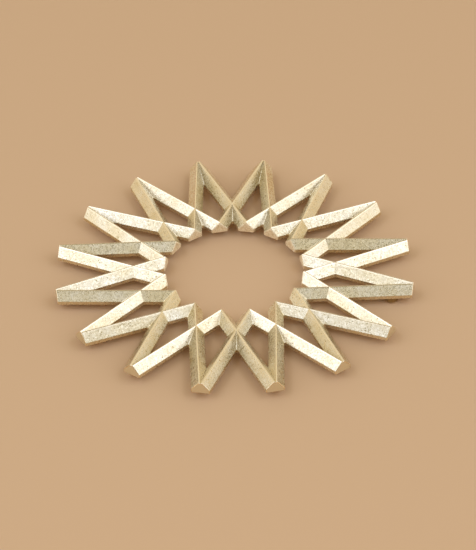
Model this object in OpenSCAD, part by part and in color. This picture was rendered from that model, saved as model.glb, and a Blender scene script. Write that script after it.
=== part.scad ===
// Sunburst trivet: one cast star of straight, roof-shaped bars on four short peg feet with pads.
// Millimetres. The origin is on the table, under the middle of the star, and +Z is up.

/* [Star] */
// Radius from the middle to the end faces of the outer points
outer_r = 100; // [90:1:115]
// Radius from the middle to where two ridges meet at an inner point
inner_r = 39.6; // [36:0.2:44]
// Number of outer points, a multiple of four so that each foot finds its own point
points = 16; // [12:4:20]
// Length by which the outer ends are cut short of the meeting of their ridges
tip_cut = 2.4; // [0.8:0.1:4]
// Length that the inner ends run on past the meeting of their ridges
inner_nose = 1.2; // [0.4:0.1:2]

/* [Bar] */
// Width of a bar across its side walls
bar_w = 8.5; // [7:0.1:9.5]
// Height of a bar's upright side walls
wall_h = 2.3; // [1.6:0.1:4]
// Height of the ridge above the side walls
roof_h = 5; // [3.8:0.1:6]

/* [Feet] */
// Diameter of a peg foot
foot_d = 7.8; // [5:0.1:8.4]
// Height of a peg foot between the casting and its pad
foot_h = 2.7; // [2:0.1:8]
// Rounding of a peg foot's lower edge
foot_edge_r = 0.4; // [0.2:0.1:1]
// Distance of a foot from the outer end, along the ridge of its bar
foot_inset = 11.8; // [8:0.1:20]
// Diameter of the spigot that holds a foot in the casting
spigot_d = 3.2; // [2.4:0.1:4]
// Length of that spigot
spigot_h = 3; // [2:0.1:4]
// Chamfer on the spigot's end
spigot_chamfer = 0.4; // [0.2:0.1:0.6]
// Gap around the spigot in its socket, taken up by the adhesive
socket_gap = 0.05; // [0.03:0.01:0.1]
// Space left above the spigot's end
socket_spare_h = 0.4; // [0.2:0.1:0.6]

/* [Pads] */
// Diameter of a pad
pad_d = 7.2; // [4.6:0.1:8]
// Thickness of a pad
pad_h = 1; // [0.6:0.1:2]
// Rounding of a pad's lower edge
pad_edge_r = 0.3; // [0.1:0.1:0.5]

/* [Hidden] */
// The four feet, each a quarter turn round the middle from the one before
SIDES = ["right", "back", "left", "front"];
// Length by which a cut runs past what it cuts
cut_overrun = 2;
// Steps in a rounded edge
edge_steps = 5;
$fn = 48;

pitch = 360 / points;
half_w = bar_w / 2;
underside_z = pad_h + foot_h;
casting_h = wall_h + roof_h;
socket_r = spigot_d / 2 + socket_gap;
socket_depth = spigot_h + socket_spare_h;

// Radius beyond the outer ends at which two ridges would meet
meeting_r = outer_r + tip_cut;
// Every bar runs from an outer tip to the inner tip next to its own. These are its angles to
// the radius at the outer tip, at the crossing half a pitch further round, and at the inner tip
tip_lean = atan2(inner_r * sin(pitch), meeting_r - inner_r * cos(pitch));
cross_lean = tip_lean + pitch / 2;
inner_lean = tip_lean + pitch;
// Radius of the crossings
cross_r = meeting_r * sin(tip_lean) / sin(cross_lean);
// At an outer end the two ridges are still apart, with a valley between them
tip_across = tip_cut * tan(tip_lean);
valley_h = casting_h - tip_cut * sin(tip_lean) * roof_h / half_w;
// Radius of the inner end faces, and height of the hip where it reaches them
nose_r = inner_r - inner_nose;
nose_h = casting_h - inner_nose * sin(inner_lean) * roof_h / half_w;

// The points lie half a pitch off the X axis, so that the star is the same on both sides of it
function tip_angle(i) = (i + 0.5) * pitch;
function cross_angle(i) = (i + 1) * pitch;
// Point at a distance along the radius at an angle, and then across it, anticlockwise
function spot(along, across, angle) =
    [along * cos(angle) - across * sin(angle), along * sin(angle) + across * cos(angle)];
function raised(plan, z) = [plan[0], plan[1], z];
// Quarter circle for a lower edge, from the flat underside out to the upright side
function lower_edge(side_r, edge_r) =
    [for (step = [0:edge_steps])
        let (a = 90 * step / edge_steps)
        [side_r - edge_r + edge_r * sin(a), edge_r - edge_r * cos(a)]];

// The star is cut into slices, from each tip to the next crossing. A slice has six corners on
// the ridges. Right is clockwise and left anticlockwise, as seen from the middle
RIDGE_CORNERS = ["right tip", "left tip", "valley", "crossing", "meeting", "nose"];
function ridge_corners(i) = [
    raised(spot(outer_r, -tip_across, tip_angle(i)), casting_h),
    raised(spot(outer_r, tip_across, tip_angle(i)), casting_h),
    raised(spot(outer_r, 0, tip_angle(i)), valley_h),
    raised(spot(cross_r, 0, cross_angle(i)), casting_h),
    raised(spot(inner_r, 0, tip_angle(i)), casting_h),
    raised(spot(nose_r, 0, tip_angle(i)), nose_h)];
// It has ten more where the side walls meet each other or an end face, once at the eaves and
// once at the underside
WALL_CORNERS = ["right end", "left end", "outer kite", "inner kite", "right nose", "left nose",
    "right side", "left side", "outer notch", "inner notch"];
function wall_corners(i) =
    let (
        end_across = tip_across + half_w / cos(tip_lean),
        side_across = half_w / cos(cross_lean),
        nose_across = half_w / cos(inner_lean) - inner_nose * tan(inner_lean))
    [spot(outer_r, -end_across, tip_angle(i)),
    spot(outer_r, end_across, tip_angle(i)),
    spot(meeting_r - half_w / sin(tip_lean), 0, tip_angle(i)),
    spot(inner_r + half_w / sin(inner_lean), 0, tip_angle(i)),
    spot(nose_r, -nose_across, tip_angle(i)),
    spot(nose_r, nose_across, tip_angle(i)),
    spot(cross_r, -side_across, cross_angle(i)),
    spot(cross_r, side_across, cross_angle(i)),
    spot(cross_r + half_w / sin(cross_lean), 0, cross_angle(i)),
    spot(cross_r - half_w / sin(cross_lean), 0, cross_angle(i))];

// Numbers of a slice's corners on the ridges, at the eaves and at the underside
slice_count = len(RIDGE_CORNERS) + 2 * len(WALL_CORNERS);
function number_in(names, name) = search([name], names)[0];
function ridge(i, corner) = (i % points) * slice_count + number_in(RIDGE_CORNERS, corner);
function eave(i, corner) =
    (i % points) * slice_count + len(RIDGE_CORNERS) + number_in(WALL_CORNERS, corner);
function base(i, corner) = eave(i, corner) + len(WALL_CORNERS);
function wall(i, from, j, to) = [eave(i, from), eave(j, to), base(j, to), base(i, from)];

// Roof of the two bars that cross between tips i and j, four slopes to each side of the crossing
function roof_faces(i, j) = [
    [ridge(i, "left tip"), ridge(i, "crossing"), eave(i, "outer notch"), eave(i, "left end")],
    [ridge(i, "left tip"), ridge(i, "valley"), eave(i, "outer kite"), eave(i, "right side"),
        ridge(i, "crossing")],
    [ridge(j, "right tip"), eave(j, "right end"), eave(i, "outer notch"), ridge(i, "crossing")],
    [ridge(j, "right tip"), ridge(i, "crossing"), eave(i, "left side"), eave(j, "outer kite"),
        ridge(j, "valley")],
    [ridge(i, "crossing"), eave(i, "right side"), eave(i, "inner kite"), ridge(i, "meeting")],
    [ridge(i, "crossing"), ridge(j, "meeting"), eave(j, "inner kite"), eave(i, "left side")],
    [ridge(i, "crossing"), ridge(i, "meeting"), ridge(i, "nose"), eave(i, "left nose"),
        eave(i, "inner notch")],
    [ridge(i, "crossing"), eave(i, "inner notch"), eave(j, "right nose"), ridge(j, "nose"),
        ridge(j, "meeting")]];

// Side walls of the same two bars
function wall_faces(i, j) = [
    wall(i, "left end", i, "outer notch"),
    wall(i, "outer notch", j, "right end"),
    wall(i, "right side", i, "outer kite"),
    wall(i, "inner kite", i, "right side"),
    wall(i, "left side", j, "inner kite"),
    wall(j, "outer kite", i, "left side"),
    wall(i, "inner notch", i, "left nose"),
    wall(j, "right nose", i, "inner notch")];

// Upright end faces. The outer one is in three parts, to each side of the valley and below it
function end_faces(i) = [
    [ridge(i, "left tip"), eave(i, "left end"), base(i, "left end"), ridge(i, "valley")],
    [ridge(i, "right tip"), ridge(i, "valley"), base(i, "right end"), eave(i, "right end")],
    [ridge(i, "valley"), base(i, "left end"), base(i, "right end")],
    [ridge(i, "nose"), eave(i, "right nose"), base(i, "right nose"), base(i, "left nose"),
        eave(i, "left nose")]];

// Flat underside, from the outer tip inwards
function underside_faces(i, j) = [
    [base(i, "right end"), base(i, "left end"), base(i, "outer kite")],
    [base(i, "left end"), base(i, "outer notch"), base(i, "right side"), base(i, "outer kite")],
    [base(j, "right end"), base(j, "outer kite"), base(i, "left side"), base(i, "outer notch")],
    [base(i, "outer notch"), base(i, "left side"), base(i, "inner notch"), base(i, "right side")],
    [base(i, "right side"), base(i, "inner notch"), base(i, "left nose"), base(i, "inner kite")],
    [base(i, "left side"), base(j, "inner kite"), base(j, "right nose"), base(i, "inner notch")],
    [base(i, "inner kite"), base(i, "left nose"), base(i, "right nose")]];

// Straight bars of one roof-shaped section that cross all round, with mitred ridges and valleys
module crossed_bars() {
    polyhedron(
        points = [for (i = [0:points - 1]) each
            let (plan = wall_corners(i))
            concat(
                ridge_corners(i),
                [for (corner = plan) raised(corner, wall_h)],
                [for (corner = plan) raised(corner, 0)])],
        faces = [for (i = [0:points - 1]) each
            concat(
                roof_faces(i, i + 1),
                wall_faces(i, i + 1),
                end_faces(i),
                underside_faces(i, i + 1))]);
}

// Moves a piece to the foot on one side: under the clockwise bar of its point
module at_foot(side) {
    ridge_end = spot(outer_r, -tip_across, tip_angle(-1));
    run = spot(inner_r, 0, tip_angle(-2)) - ridge_end;
    place = ridge_end + foot_inset * run / norm(run);
    rotate([0, 0, 90 * number_in(SIDES, side)])
    translate([place[0], place[1], 0])
    children();
}

// Blind socket for the spigot of a foot, open at the casting's underside
module foot_socket() {
    translate([0, 0, -cut_overrun])
    cylinder(r = socket_r, h = socket_depth + cut_overrun);
}

// The cast star, with a socket for each foot
module star_casting() {
    color("#cdb886")
    translate([0, 0, underside_z])
    difference() {
        crossed_bars();
        for (side = SIDES) {
            at_foot(side) foot_socket();
        }
    }
}

// A turned peg foot: round-edged foot below, spigot with a chamfered end above
module peg_foot() {
    spigot_r = spigot_d / 2;
    spigot_end = foot_h + spigot_h;
    color("#b39a62")
    translate([0, 0, pad_h])
    rotate_extrude()
    polygon(concat(
        [[0, 0]],
        lower_edge(foot_d / 2, foot_edge_r),
        [[foot_d / 2, foot_h], [spigot_r, foot_h], [spigot_r, spigot_end - spigot_chamfer],
        [spigot_r - spigot_chamfer, spigot_end], [0, spigot_end]]));
}

// A thin round pad under a foot
module pad() {
    color("#a8875c")
    rotate_extrude()
    polygon(concat([[0, 0]], lower_edge(pad_d / 2, pad_edge_r), [[pad_d / 2, pad_h], [0, pad_h]]));
}

module foot_right() { at_foot("right") peg_foot(); }
module foot_back() { at_foot("back") peg_foot(); }
module foot_left() { at_foot("left") peg_foot(); }
module foot_front() { at_foot("front") peg_foot(); }
module pad_right() { at_foot("right") pad(); }
module pad_back() { at_foot("back") pad(); }
module pad_left() { at_foot("left") pad(); }
module pad_front() { at_foot("front") pad(); }

star_casting();
foot_right();
foot_back();
foot_left();
foot_front();
pad_right();
pad_back();
pad_left();
pad_front();
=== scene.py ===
"""Sunburst trivet in sand-cast champagne brass: a star of crossing roof-shaped bars on four
peg feet with pads, on a plain pale floor in soft studio light."""
from math import acos, atan2, cos, pi, radians, sin, tan

import bpy
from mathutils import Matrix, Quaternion, Vector


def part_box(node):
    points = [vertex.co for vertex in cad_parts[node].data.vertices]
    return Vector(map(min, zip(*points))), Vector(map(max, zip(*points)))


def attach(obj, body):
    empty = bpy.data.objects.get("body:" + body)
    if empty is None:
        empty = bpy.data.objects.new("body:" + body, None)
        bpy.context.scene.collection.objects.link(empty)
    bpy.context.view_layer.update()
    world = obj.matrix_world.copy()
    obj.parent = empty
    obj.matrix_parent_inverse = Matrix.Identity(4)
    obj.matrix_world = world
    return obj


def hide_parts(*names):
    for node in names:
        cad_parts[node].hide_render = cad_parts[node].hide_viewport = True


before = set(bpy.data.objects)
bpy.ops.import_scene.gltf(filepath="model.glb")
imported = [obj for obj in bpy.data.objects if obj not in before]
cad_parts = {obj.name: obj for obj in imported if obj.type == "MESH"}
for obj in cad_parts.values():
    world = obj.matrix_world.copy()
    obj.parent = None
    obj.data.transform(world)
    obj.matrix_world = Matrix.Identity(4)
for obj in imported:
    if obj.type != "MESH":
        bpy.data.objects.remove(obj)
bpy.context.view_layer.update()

MM = 0.001

# Camera, fitted to the photograph of 476 x 550 pixels. Its focal length is in those pixels, and
# its angles are in degrees
FOCAL_PIXELS = 1985.4
IMAGE_HEIGHT = 550
SENSOR_MM = 36
CAMERA_AZIMUTH = -0.94
CAMERA_ELEVATION = 39.07
CAMERA_ROLL = -0.46
CAMERA_DISTANCE = 1094.5 * MM
CAMERA_TARGET = Vector((1.93, -10.13, 11)) * MM

# Sizes of the casting, in millimetres. Its whole height comes from the frame
OUTER_R = 100
INNER_R = 39.6
POINTS = 16
TIP_CUT = 2.4
INNER_NOSE = 1.2
BAR_W = 8.5
WALL_H = 2.3
# Rounds of its section, and of the rims of its end faces
RIDGE_R = 0.45
EAVE_R = 0.45
BASE_R = 0.4
END_R = 0.5
# Rounds in plan where walls meet, and at the sharper outer corner of a kite
CORNER_R = 0.5
KITE_TIP_R = 0.35
# Steps in a round of the section, and in one in plan
ARC_STEPS = 4
FILLET_STEPS = 6
# Corners that fall on the same point of a grid this fine share a vertex
MERGE_MM = 0.0005
# Numbers of the casting's materials, in the order in which it is given them, and of the only
# material of a plainer piece
# The third is a paler brass on the inner ends, which is painted light
CAST, GROUND, NOSE_PAINTED_LIGHT = range(3)
ONLY = 0

low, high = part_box("star_casting")
UNDERSIDE_Z = low.z / MM
CASTING_H = (high.z - low.z) / MM
HALF_W = BAR_W / 2
SLOPE = atan2(CASTING_H - WALL_H, HALF_W)
PITCH = 2 * pi / POINTS


# Plan geometry in millimetres

def spot(along, across, angle):
    """Point at a distance along the radius at an angle, and then across it, anticlockwise."""
    return Vector((along * cos(angle) - across * sin(angle),
                   along * sin(angle) + across * cos(angle)))


def tip_angle(i):
    """The points lie half a pitch off the X axis, so the star is the same on both sides of it."""
    return (i + 0.5) * PITCH


# The ridges would meet a little outside the outer ends, which leaves a valley between them
MEETING_R = OUTER_R + TIP_CUT
TIP_LEAN = atan2(INNER_R * sin(PITCH), MEETING_R - INNER_R * cos(PITCH))
CROSS_LEAN = TIP_LEAN + PITCH / 2
INNER_LEAN = TIP_LEAN + PITCH
CROSS_R = MEETING_R * sin(TIP_LEAN) / sin(CROSS_LEAN)
# Radii at which the rims of the end faces begin, and how far down a slope the hip and the valley
# have come there, as distances from the ridge line
OUTER_RIM_R = OUTER_R - END_R
INNER_RIM_R = INNER_R - INNER_NOSE + END_R
HIP_SHARE = (INNER_R - INNER_RIM_R) * sin(INNER_LEAN)
CUT_SHARE = (MEETING_R - OUTER_RIM_R) * sin(TIP_LEAN)
# Numbers of those two places among the levels of a bar's section, after the ridge's round
HIP_LEVEL = ARC_STEPS + 1
CUT_LEVEL = ARC_STEPS + 2


def outer_meeting(i):
    return spot(MEETING_R, 0, tip_angle(i))


def inner_meeting(i):
    return spot(INNER_R, 0, tip_angle(i))


def crossing(i):
    return spot(CROSS_R, 0, (i + 1) * PITCH)


def outer_across(radius, inset):
    """Distance from the middle of a point to the line that runs outside its left ridge."""
    return (MEETING_R - radius) * tan(TIP_LEAN) + inset / cos(TIP_LEAN)


def inner_across(radius, inset):
    """Distance from the middle of an inner end to the line that runs beside its ridge."""
    return inset / cos(INNER_LEAN) - (INNER_R - radius) * tan(INNER_LEAN)


def arc(centre, radius, start, stop):
    """Points on an arc of a section, from one angle to another. Each has its distance from the
    ridge line, its height and the rise of its normal."""
    turns = [start + (stop - start) * k / ARC_STEPS for k in range(ARC_STEPS + 1)]
    across, up = centre
    return [(across + radius * cos(turn), up + radius * sin(turn), turn) for turn in turns]


def bar_levels(hip_share, cut_share, shrink=0):
    """Half of a bar's section, from the ridge down to the middle of the underside. It can be
    shrunk all round, with its rounds kept true."""
    ridge_r, eave_r, base_r = [max(radius - shrink, 0) for radius in (RIDGE_R, EAVE_R, BASE_R)]
    peak = CASTING_H - shrink / cos(SLOPE)
    eave_in, base_in = eave_r + shrink, base_r + shrink
    eave_z = WALL_H - eave_in * tan((pi / 2 - SLOPE) / 2)
    upwards, off_slope, downwards = pi / 2, pi / 2 - SLOPE, -pi / 2
    levels = arc((0, peak - ridge_r / cos(SLOPE)), ridge_r, upwards, off_slope)
    levels += [(share, peak - share * tan(SLOPE), off_slope) for share in (hip_share, cut_share)]
    levels += arc((HALF_W - eave_in, eave_z), eave_r, off_slope, 0)
    levels += arc((HALF_W - base_in, base_in), base_r, 0, downwards)
    return levels + [(share, shrink, downwards) for share in (cut_share, hip_share, 0)]


def fillet(before, corner, after, inset, full_radius, start=0):
    """Round at a corner of an opening's outline that is moved in from the ridges, as points and
    the directions that they face. The round grows from nothing, where the corner starts, to its
    full radius at the eaves."""
    radius = full_radius * max(0, inset - start) / (HALF_W - start)
    way_in, way_out = (corner - before).normalized(), (after - corner).normalized()
    left_in, left_out = Vector((-way_in.y, way_in.x)), Vector((-way_out.y, way_out.x))
    half_turn = acos(max(-1, min(1, way_in.dot(way_out)))) / 2
    inwards = (left_in + left_out).normalized()
    centre = corner + inwards * (inset + radius) / cos(half_turn)
    first = atan2(left_in.y, left_in.x)
    facings = [Vector((cos(turn), sin(turn))) for turn in
               (first + 2 * half_turn * k / FILLET_STEPS for k in range(FILLET_STEPS + 1))]
    return [(centre - radius * facing, facing) for facing in facings]


def kite_row(i, inset):
    """Outline of the gap between the two bars of a point, from the middle of its outer corner
    round to the same place. Above the valley's end it is open at the outer end face."""
    outer, left, inner, right = outer_meeting(i), crossing(i), inner_meeting(i), crossing(i - 1)
    row = []
    for corners in ((outer, left, inner), (left, inner, right), (inner, right, outer)):
        row += fillet(*corners, inset, CORNER_R)
    tip = fillet(right, outer, left, inset, KITE_TIP_R, CUT_SHARE)
    middle = FILLET_STEPS // 2
    first, last = tip[middle:], tip[:middle + 1]
    if inset < CUT_SHARE:
        across = outer_across(OUTER_RIM_R, -inset)
        first = [(spot(OUTER_RIM_R, across, tip_angle(i)), facing) for point, facing in first]
        last = [(spot(OUTER_RIM_R, -across, tip_angle(i)), facing) for point, facing in last]
    return first + row + last


def notch_row(corners, inset, radius, across, angles):
    """Outline of a notch, with one round corner between two open ends."""
    row = fillet(*corners, inset, CORNER_R)
    return ([(spot(radius, across, angles[0]), row[0][1])] + row
            + [(spot(radius, -across, angles[1]), row[-1][1])])


def outer_row(i, inset):
    """Outline of the notch between two points, open at the end faces."""
    return notch_row((outer_meeting(i + 1), crossing(i), outer_meeting(i)), inset, OUTER_RIM_R,
                     -outer_across(OUTER_RIM_R, inset), (tip_angle(i + 1), tip_angle(i)))


def inner_row(i, inset):
    """Outline of the notch between two inner ends. Its ends run down the hips, and then on along
    the end faces."""
    radius = max(INNER_RIM_R, INNER_R - inset / sin(INNER_LEAN))
    return notch_row((inner_meeting(i), crossing(i), inner_meeting(i + 1)), inset, radius,
                     inner_across(radius, inset), (tip_angle(i), tip_angle(i + 1)))


class Skin:
    """Collects the corners of one mesh and its faces. Each corner is a place in millimetres, a
    normal, and how far handling has burnished the metal there. A face has a number for its
    material."""

    def __init__(self):
        self.corners = []
        self.faces = []

    def add_row(self, points):
        """Adds corners and gives their numbers."""
        first = len(self.corners)
        self.corners += points
        return list(range(first, first + len(points)))

    def add_strips(self, rows, material):
        """Quads between rows of corners."""
        for upper, lower in zip(rows, rows[1:]):
            for k in range(len(upper) - 1):
                self.faces.append(((upper[k], upper[k + 1], lower[k + 1], lower[k]), material))

    def finish(self, name):
        """Makes the object. Corners at the same place share a vertex, and each face keeps its
        own normals there, so that flat faces stay flat up to a sharp edge."""
        vertices, faces, normals, materials, burnishes = {}, [], [], [], []
        for face, material in self.faces:
            ring = {}
            for place, normal, burnish in (self.corners[k] for k in face):
                key = tuple(round(value / MERGE_MM) for value in place)
                vertex = vertices.setdefault(key, (len(vertices), place * MM))[0]
                if vertex in ring:
                    normal = ring[vertex][0] + normal
                ring[vertex] = (normal, burnish)
            if len(ring) > 2:
                faces.append(list(ring))
                materials.append(material)
                normals += [normal.normalized() for normal, burnish in ring.values()]
                burnishes += [burnish for normal, burnish in ring.values()]
        data = bpy.data.meshes.new(name)
        data.from_pydata([place for number, place in vertices.values()], [], faces)
        data.shade_smooth()
        data.normals_split_custom_set(normals)
        data.polygons.foreach_set("material_index", materials)
        data.attributes.new("burnish", "FLOAT", "CORNER").data.foreach_set("value", burnishes)
        piece = bpy.data.objects.new(name, data)
        bpy.context.scene.collection.objects.link(piece)
        return piece


def on_ridge(inset, rise):
    """One on the rounded ridge, where hands and pans burnish the metal, and zero elsewhere."""
    return float(inset < RIDGE_R and rise > 0)


def swept(row, inset, z, rise):
    """Corners of an outline at one level of the section."""
    burnish = on_ridge(inset, rise)
    return [(Vector((point.x, point.y, UNDERSIDE_Z + z)),
             Vector((facing.x * cos(rise), facing.y * cos(rise), sin(rise))), burnish)
            for point, facing in row]


def outer_half_outline(radius, shrink):
    """Half of the outline of an outer end: up out of the valley, over the ridge and down to the
    middle of the underside. Each place has its distance from the middle, its height, its
    normal along the radius, across it and up, and whether it is on a ridge."""
    levels = bar_levels(HIP_SHARE, (MEETING_R - radius) * sin(TIP_LEAN), shrink)
    # The bar's other side begins at the valley, and ends with the hip's and the valley's places
    # on the underside
    rising = levels[CUT_LEVEL:0:-1]
    under = levels[-2:-4:-1]

    def place(level, side):
        inset, z, rise = level
        out = side * cos(rise)
        normal = Vector((out * sin(TIP_LEAN), out * cos(TIP_LEAN), sin(rise)))
        return outer_across(radius, side * inset), z, normal, on_ridge(inset, rise)
    return ([place(level, -1) for level in rising] + [place(level, 1) for level in levels]
            + [place(level, -1) for level in under])


def inner_half_outline(radius, shrink):
    """Half of the outline of an inner end, in the same way: from the hip down to the middle of
    the underside."""
    deeper = (INNER_RIM_R - radius) * sin(INNER_LEAN)
    levels = bar_levels(HIP_SHARE + deeper, CUT_SHARE + deeper, shrink)
    return [(inner_across(radius, inset), z,
             Vector((-cos(rise) * sin(INNER_LEAN), cos(rise) * cos(INNER_LEAN), sin(rise))), 0.0)
            for inset, z, rise in levels[HIP_LEVEL:-1]]


def add_end_face(skin, half_outline, rim_radius, outwards, angle):
    """Rounded rim and flat face that close a bar's end."""
    end = 1 if outwards else -1
    end_ring = []
    for side in (-end, end):
        rows = []
        for step in range(ARC_STEPS + 1):
            turn = pi / 2 * step / ARC_STEPS
            radius = rim_radius + end * END_R * sin(turn)
            row = []
            for across, z, normal, ridge in half_outline(radius, END_R * (1 - cos(turn))):
                point = spot(radius, side * across, angle)
                turned = normal * cos(turn) + Vector((end * sin(turn), 0, 0))
                facing = spot(turned.x, side * turned.y, angle)
                # Handling burnishes the middle of the rim most
                burnish = max(ridge, sin(2 * turn))
                row.append((Vector((point.x, point.y, UNDERSIDE_Z + z)),
                            Vector((facing.x, facing.y, turned.z)).normalized(), burnish))
            numbers = skin.add_row(row)
            rows.append(numbers if side == -end else numbers[::-1])
        # An inner end takes the paler brass, which is painted light
        skin.add_strips(rows, CAST if outwards else NOSE_PAINTED_LIGHT)
        end_ring += rows[-1]
    skin.faces.append((end_ring, GROUND if outwards else NOSE_PAINTED_LIGHT))


def make_casting():
    """The cast star: every kite, notch and end swept down the section of the bars."""
    levels = bar_levels(HIP_SHARE, CUT_SHARE)
    skin = Skin()
    for i in range(POINTS):
        for outline in (kite_row, outer_row, inner_row):
            skin.add_strips([skin.add_row(swept(outline(i, inset), inset, z, rise))
                             for inset, z, rise in levels], CAST)
        add_end_face(skin, outer_half_outline, OUTER_RIM_R, True, tip_angle(i))
        add_end_face(skin, inner_half_outline, INNER_RIM_R, False, tip_angle(i))
    return skin.finish("sunburst_casting")


# Materials. Sizes of their patterns are in millimetres. The sand's grains are about 0.3 mm, the
# marks on the inner ends 0.1 mm and the scratches of a 240 grit belt 0.06 mm, which is finer than a
# pixel, so they are drawn larger to show

SAND_GRAIN = 0.6
CLOUD = 14
NOSE_MARK = 0.6
BELT_SCRATCH = 0.4
LATHE_MARK = 1.2
RUBBER_GRAIN = 0.5
RUBBER_BUMP = 0.05
NOISE_DETAIL = 2
# Middle of the three random values that each grain of sand has
EVEN_CHANCES = (0.5, 0.5, 0.5)
# Share of the grains painted dark, as painted shade in their pits
SHADED_PIT_SHARE = 0.05
# Factor for the tilt of a grain's facet, as cast and where the skin is burnished
CAST_TILT = 0.55
WORN_TILT = 0.18
# Roughness of the smoothest and the roughest facet, and of burnished skin
SMOOTH_GRAIN = 0.2
ROUGH_GRAIN = 0.5
BURNISHED = 0.14


def linear(hex_colour):
    """Linear colour of an sRGB hex value."""
    shares = [int(hex_colour[k:k + 2], 16) / 255 for k in (1, 3, 5)]
    return [s / 12.92 if s <= 0.04045 else ((s + 0.055) / 1.055) ** 2.4 for s in shares] + [1]


def add_node(tree, kind, values=None, links=None, stops=(), **settings):
    """Adds a node with its settings, the values of its inputs and the links into them. A ramp
    also has stops, which are positions and hex colours in rising order."""
    node = tree.nodes.new(kind)
    for name, value in settings.items():
        setattr(node, name, value)
    for name, value in (values or {}).items():
        node.inputs[name].default_value = value
    for name, source in (links or {}).items():
        tree.links.new(source, node.inputs[name])
    if stops:
        elements = node.color_ramp.elements
        while len(elements) < len(stops):
            elements.new(1)
        for element, (position, colour) in zip(elements, stops):
            element.position = position
            element.color = linear(colour)
    return node


def new_material(name):
    """An empty node material with its output node."""
    material = bpy.data.materials.new(name)
    material.use_nodes = True
    tree = material.node_tree
    tree.nodes.clear()
    return material, tree, add_node(tree, "ShaderNodeOutputMaterial")


def per_mm(size):
    """Pattern scale at which one repeat is that many millimetres."""
    return 1 / (size * MM)


def sand_cast_brass():
    """Sand-cast champagne brass, shaken clean and lightly blasted. The skin keeps the print of the
    sand: it sparkles grain by grain, its tone varies a little from grain to grain, and a few grains
    are painted dark as painted shade in the pits between them. Handling has burnished its ridges
    and rims to thin pale lines."""
    material, tree, output = new_material("sand_cast_champagne_brass")
    place = add_node(tree, "ShaderNodeTexCoord").outputs["Object"]
    surface = add_node(tree, "ShaderNodeNewGeometry").outputs["Normal"]
    worn = add_node(tree, "ShaderNodeAttribute", attribute_name="burnish").outputs["Fac"]
    grains = add_node(tree, "ShaderNodeTexVoronoi", {"Scale": per_mm(SAND_GRAIN)},
                      {"Vector": place})
    clouds = add_node(tree, "ShaderNodeTexNoise",
                      {"Scale": per_mm(CLOUD), "Detail": NOISE_DETAIL}, {"Vector": place})
    # Each grain left a small facet with its own roughness and tilt. Most lie nearly flat, and the
    # cube of the chance lets a few stand steep, which sparkle
    chances = add_node(tree, "ShaderNodeVectorMath", {1: EVEN_CHANCES},
                       {0: grains.outputs["Color"]}, operation="SUBTRACT").outputs["Vector"]
    squares = add_node(tree, "ShaderNodeVectorMath", links={0: chances, 1: chances},
                       operation="MULTIPLY").outputs["Vector"]
    cubes = add_node(tree, "ShaderNodeVectorMath", links={0: squares, 1: chances},
                     operation="MULTIPLY").outputs["Vector"]
    tilt = add_node(tree, "ShaderNodeMapRange", {"To Min": CAST_TILT, "To Max": WORN_TILT},
                    {"Value": worn})
    turned = add_node(tree, "ShaderNodeVectorMath", operation="SCALE",
                      links={0: cubes, "Scale": tilt.outputs["Result"]})
    facet = add_node(tree, "ShaderNodeVectorMath", operation="ADD",
                     links={0: turned.outputs["Vector"], 1: surface})
    skin = add_node(tree, "ShaderNodeVectorMath", links={0: facet.outputs["Vector"]},
                    operation="NORMALIZE")
    chance = add_node(tree, "ShaderNodeSeparateColor", links={"Color": grains.outputs["Color"]})
    # Tone of each grain: a little random variation, and the darkest few grains are painted shade in
    # the pits
    grain_tone_and_pit_shade = add_node(tree, "ShaderNodeValToRGB", links={"Fac": chance.outputs["Green"]},
                      stops=[(0, "#C4BA9C"), (SHADED_PIT_SHARE, "#F2EEE4"), (1, "#FFFFFF")])
    tint = add_node(tree, "ShaderNodeValToRGB", links={"Fac": clouds.outputs["Fac"]},
                    stops=[(0.35, "#E9DCBA"), (0.65, "#F1E9D3")])
    shade = add_node(tree, "ShaderNodeVectorMath", operation="MULTIPLY",
                     links={0: tint.outputs["Color"], 1: grain_tone_and_pit_shade.outputs["Color"]})
    colour = add_node(tree, "ShaderNodeMix", {"B": linear("#F4E5C6")}, data_type="RGBA",
                      links={"Factor": worn, "A": shade.outputs["Vector"]})
    sand = add_node(tree, "ShaderNodeMapRange", {"To Min": SMOOTH_GRAIN, "To Max": ROUGH_GRAIN},
                    {"Value": chance.outputs["Blue"]})
    shine = add_node(tree, "ShaderNodeMapRange", {"To Max": BURNISHED},
                     {"Value": worn, "To Min": sand.outputs["Result"]})
    brass = add_node(tree, "ShaderNodeBsdfPrincipled", {"Metallic": 1},
                     {"Base Color": colour.outputs["Result"],
                      "Roughness": shine.outputs["Result"], "Normal": skin.outputs["Vector"]})
    tree.links.new(brass.outputs["BSDF"], output.inputs["Surface"])
    return material


def ground_brass():
    """Brass ground flat on a belt at the ends of the points: smooth and pale, so that it takes
    its gold mostly from the table that it mirrors."""
    material, tree, output = new_material("ground_brass")
    place = add_node(tree, "ShaderNodeTexCoord").outputs["Object"]
    scratches = add_node(tree, "ShaderNodeTexNoise",
                         {"Scale": per_mm(BELT_SCRATCH), "Detail": NOISE_DETAIL}, {"Vector": place})
    tint = add_node(tree, "ShaderNodeValToRGB", links={"Fac": scratches.outputs["Fac"]},
                    stops=[(0, "#EAE6CE"), (1, "#F3EFDC")])
    brass = add_node(tree, "ShaderNodeBsdfPrincipled", {"Metallic": 1, "Roughness": 0.32},
                     {"Base Color": tint.outputs["Color"]})
    tree.links.new(brass.outputs["BSDF"], output.inputs["Surface"])
    return material


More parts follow.
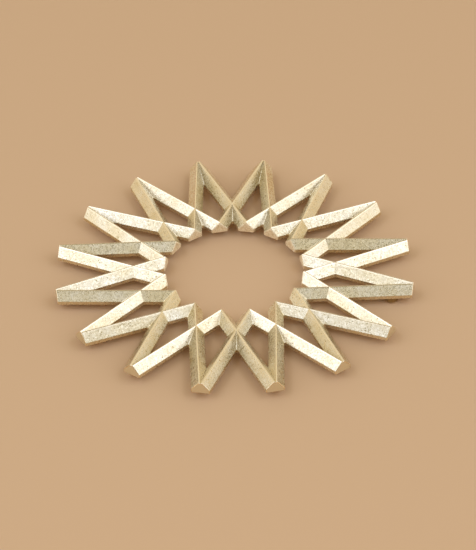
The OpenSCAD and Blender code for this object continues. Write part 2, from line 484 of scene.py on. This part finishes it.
def nose_brass_painted_light():
    """Brass at the inner ends: matt, half metal and half diffuse, with faint marks, and paler than
    the star's skin. The paleness is painted light, standing in for the light that falls on the
    inner ends."""
    material, tree, output = new_material("inner_end_brass_painted_light")
    place = add_node(tree, "ShaderNodeTexCoord").outputs["Object"]
    marks = add_node(tree, "ShaderNodeTexVoronoi", {"Scale": per_mm(NOSE_MARK)},
                     {"Vector": place})
    chance = add_node(tree, "ShaderNodeSeparateColor", links={"Color": marks.outputs["Color"]})
    # Pale tints: painted light on the inner ends
    tint = add_node(tree, "ShaderNodeValToRGB", links={"Fac": chance.outputs["Green"]},
                    stops=[(0, "#E2CDA0"), (1, "#FFF3D6")])
    brass = add_node(tree, "ShaderNodeBsdfPrincipled", {"Metallic": 0.5, "Roughness": 0.6},
                     {"Base Color": tint.outputs["Color"]})
    tree.links.new(brass.outputs["BSDF"], output.inputs["Surface"])
    return material


def shaded_turned_brass():
    """Brass as it comes off the lathe: satin, and a darker gold than the star, which is painted
    shade for the shade that the bars cast on the pegs.
    """
    material, tree, output = new_material("turned_satin_brass_painted_shade")
    place = add_node(tree, "ShaderNodeTexCoord").outputs["Object"]
    marks = add_node(tree, "ShaderNodeTexNoise",
                     {"Scale": per_mm(LATHE_MARK), "Detail": NOISE_DETAIL}, {"Vector": place})
    # Darker gold tints: painted shade on the pegs under the bars
    tint = add_node(tree, "ShaderNodeValToRGB", links={"Fac": marks.outputs["Fac"]},
                    stops=[(0, "#917A50"), (1, "#A88F64")])
    brass = add_node(tree, "ShaderNodeBsdfPrincipled", {"Metallic": 1, "Roughness": 0.4},
                     {"Base Color": tint.outputs["Color"]})
    tree.links.new(brass.outputs["BSDF"], output.inputs["Surface"])
    return material


def moulded_rubber():
    """Moulded tan rubber, matt with a fine grain."""
    material, tree, output = new_material("moulded_tan_rubber")
    place = add_node(tree, "ShaderNodeTexCoord").outputs["Object"]
    grain = add_node(tree, "ShaderNodeTexNoise",
                     {"Scale": per_mm(RUBBER_GRAIN), "Detail": NOISE_DETAIL}, {"Vector": place})
    tint = add_node(tree, "ShaderNodeValToRGB", links={"Fac": grain.outputs["Fac"]},
                    stops=[(0, "#9A7B55"), (1, "#B8966B")])
    bumps = add_node(tree, "ShaderNodeBump", {"Strength": 0.4, "Distance": RUBBER_BUMP * MM},
                     {"Height": grain.outputs["Fac"]})
    rubber = add_node(tree, "ShaderNodeBsdfPrincipled", {"Roughness": 0.75},
                      {"Base Color": tint.outputs["Color"], "Normal": bumps.outputs["Normal"]})
    tree.links.new(rubber.outputs["BSDF"], output.inputs["Surface"])
    return material


def give(piece, *materials):
    """Puts materials in the place of a piece's own ones. Clearing these resets the faces'
    numbers, so they are set again."""
    numbers = [face.material_index for face in piece.data.polygons]
    piece.data.materials.clear()
    for material in materials:
        piece.data.materials.append(material)
    piece.data.polygons.foreach_set("material_index", numbers)


# Studio

SKYLIGHT = "#D3DFFF"
LAMPLIGHT = "#EEF1F5"
# The bars' faces are rough mirrors, so each lamp stands where a group of them mirrors it into the
# camera. A row has the lamp's name and colour, its azimuth and elevation in degrees, its
# distance, width and height in metres, and its radiance
LAMPS = [
    ("softbox_right", SKYLIGHT, 66, 33, 2.5, 2.6, 1.45, 1.05),
    ("softbox_right_core", SKYLIGHT, 63, 32, 2.45, 1.6, 0.8, 0.55),
    ("softbox_left", SKYLIGHT, -63, 33, 2.5, 2.55, 1.45, 1.05),
    ("softbox_left_core", SKYLIGHT, -64, 32, 2.45, 1.6, 0.8, 0.55),
    ("bank_right", SKYLIGHT, 80, 58, 2.5, 1.6, 0.7, 2.5),
    ("bank_left", SKYLIGHT, -80, 58, 2.5, 1.6, 0.7, 2.5),
    ("strip_high", LAMPLIGHT, 0, 51, 2.5, 1.6, 0.25, 1.9),
    ("strip_low", LAMPLIGHT, 0, 29, 2.5, 1.6, 0.25, 1.8)]
FLOOR_COLOUR = "#D4B087"
# Half the floor's width, in millimetres
FLOOR_REACH = 6000
# Colours of the room, from near the horizon up to the ceiling
ROOM = [(0.1, "#F2DFC3"), (0.45, "#DFD8C6"), (0.7, "#DFD8C6"), (0.9, "#8C8064")]
# The strength of its light rises from the first level to the second over this part of the way
# from the front, at -1, to the back, at 1
FRONT_DIMMING = {"From Min": -0.8, "From Max": -0.5, "To Min": 0.45, "To Max": 1.1}


def direction(azimuth, elevation):
    """Direction out from the trivet. The azimuth is anticlockwise from the front, in degrees."""
    azimuth, elevation = radians(azimuth), radians(elevation)
    return Vector((sin(azimuth) * cos(elevation), -cos(azimuth) * cos(elevation), sin(elevation)))


def make_camera():
    """The photograph's camera, turned by its roll and set back from what it looks at."""
    back = direction(CAMERA_AZIMUTH, CAMERA_ELEVATION)
    roll = Quaternion((0, 0, 1), radians(CAMERA_ROLL))
    data = bpy.data.cameras.new("camera")
    data.sensor_width = SENSOR_MM
    data.lens = FOCAL_PIXELS * SENSOR_MM / IMAGE_HEIGHT
    camera = bpy.data.objects.new("camera", data)
    camera.rotation_mode = "QUATERNION"
    camera.rotation_quaternion = back.to_track_quat("Z", "Y") @ roll
    camera.location = CAMERA_TARGET + back * CAMERA_DISTANCE
    bpy.context.scene.collection.objects.link(camera)
    bpy.context.scene.camera = camera


def add_softbox(name, colour, azimuth, elevation, distance, width, height, radiance):
    """A rectangular softbox, aimed at the trivet."""
    back = direction(azimuth, elevation)
    data = bpy.data.lights.new(name, "AREA")
    data.shape = "RECTANGLE"
    data.size, data.size_y = width, height
    data.energy = radiance * pi * width * height
    data.color = linear(colour)[:3]
    lamp = bpy.data.objects.new(name, data)
    lamp.rotation_mode = "QUATERNION"
    lamp.rotation_quaternion = back.to_track_quat("Z", "Y")
    lamp.location = back * distance
    bpy.context.scene.collection.objects.link(lamp)


def make_floor():
    """Plain pale floor, wide enough to fill every view."""
    material, tree, output = new_material("pale_paper_floor")
    paper = add_node(tree, "ShaderNodeBsdfPrincipled",
                     {"Base Color": linear(FLOOR_COLOUR), "Roughness": 0.9})
    tree.links.new(paper.outputs["BSDF"], output.inputs["Surface"])
    skin = Skin()
    ring = skin.add_row([(Vector((x, y, 0)) * FLOOR_REACH, Vector((0, 0, 1)), 0.0)
                         for x, y in ((-1, -1), (1, -1), (1, 1), (-1, 1))])
    skin.faces.append((ring, ONLY))
    floor = skin.finish("floor")
    give(floor, material)


def make_world():
    """A pale room: warm beige round the horizon, pale walls that are dimmer at the front, and an
    olive grey ceiling."""
    world = bpy.data.worlds.new("studio")
    world.use_nodes = True
    tree = world.node_tree
    tree.nodes.clear()
    output = add_node(tree, "ShaderNodeOutputWorld")
    way = add_node(tree, "ShaderNodeTexCoord").outputs["Generated"]
    sides = add_node(tree, "ShaderNodeSeparateXYZ", links={"Vector": way})
    room = add_node(tree, "ShaderNodeValToRGB", links={"Fac": sides.outputs["Z"]}, stops=ROOM)
    dim = add_node(tree, "ShaderNodeMapRange", FRONT_DIMMING, {"Value": sides.outputs["Y"]})
    light = add_node(tree, "ShaderNodeBackground",
                     links={"Color": room.outputs["Color"], "Strength": dim.outputs["Result"]})
    tree.links.new(light.outputs["Background"], output.inputs["Surface"])
    bpy.context.scene.world = world


make_camera()

casting = make_casting()
give(casting, sand_cast_brass(), ground_brass(), nose_brass_painted_light())
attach(casting, "root")
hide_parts("star_casting")

# The pegs take a darker brass, as painted shade under the bars
peg_brass_painted_shade, pad_rubber = shaded_turned_brass(), moulded_rubber()
for name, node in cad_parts.items():
    if name.startswith("foot_"):
        give(node, peg_brass_painted_shade)
    if name.startswith("pad_"):
        give(node, pad_rubber)

make_floor()
make_world()
for lamp in LAMPS:
    add_softbox(*lamp)
bpy.context.scene.view_settings.view_transform = "Standard"
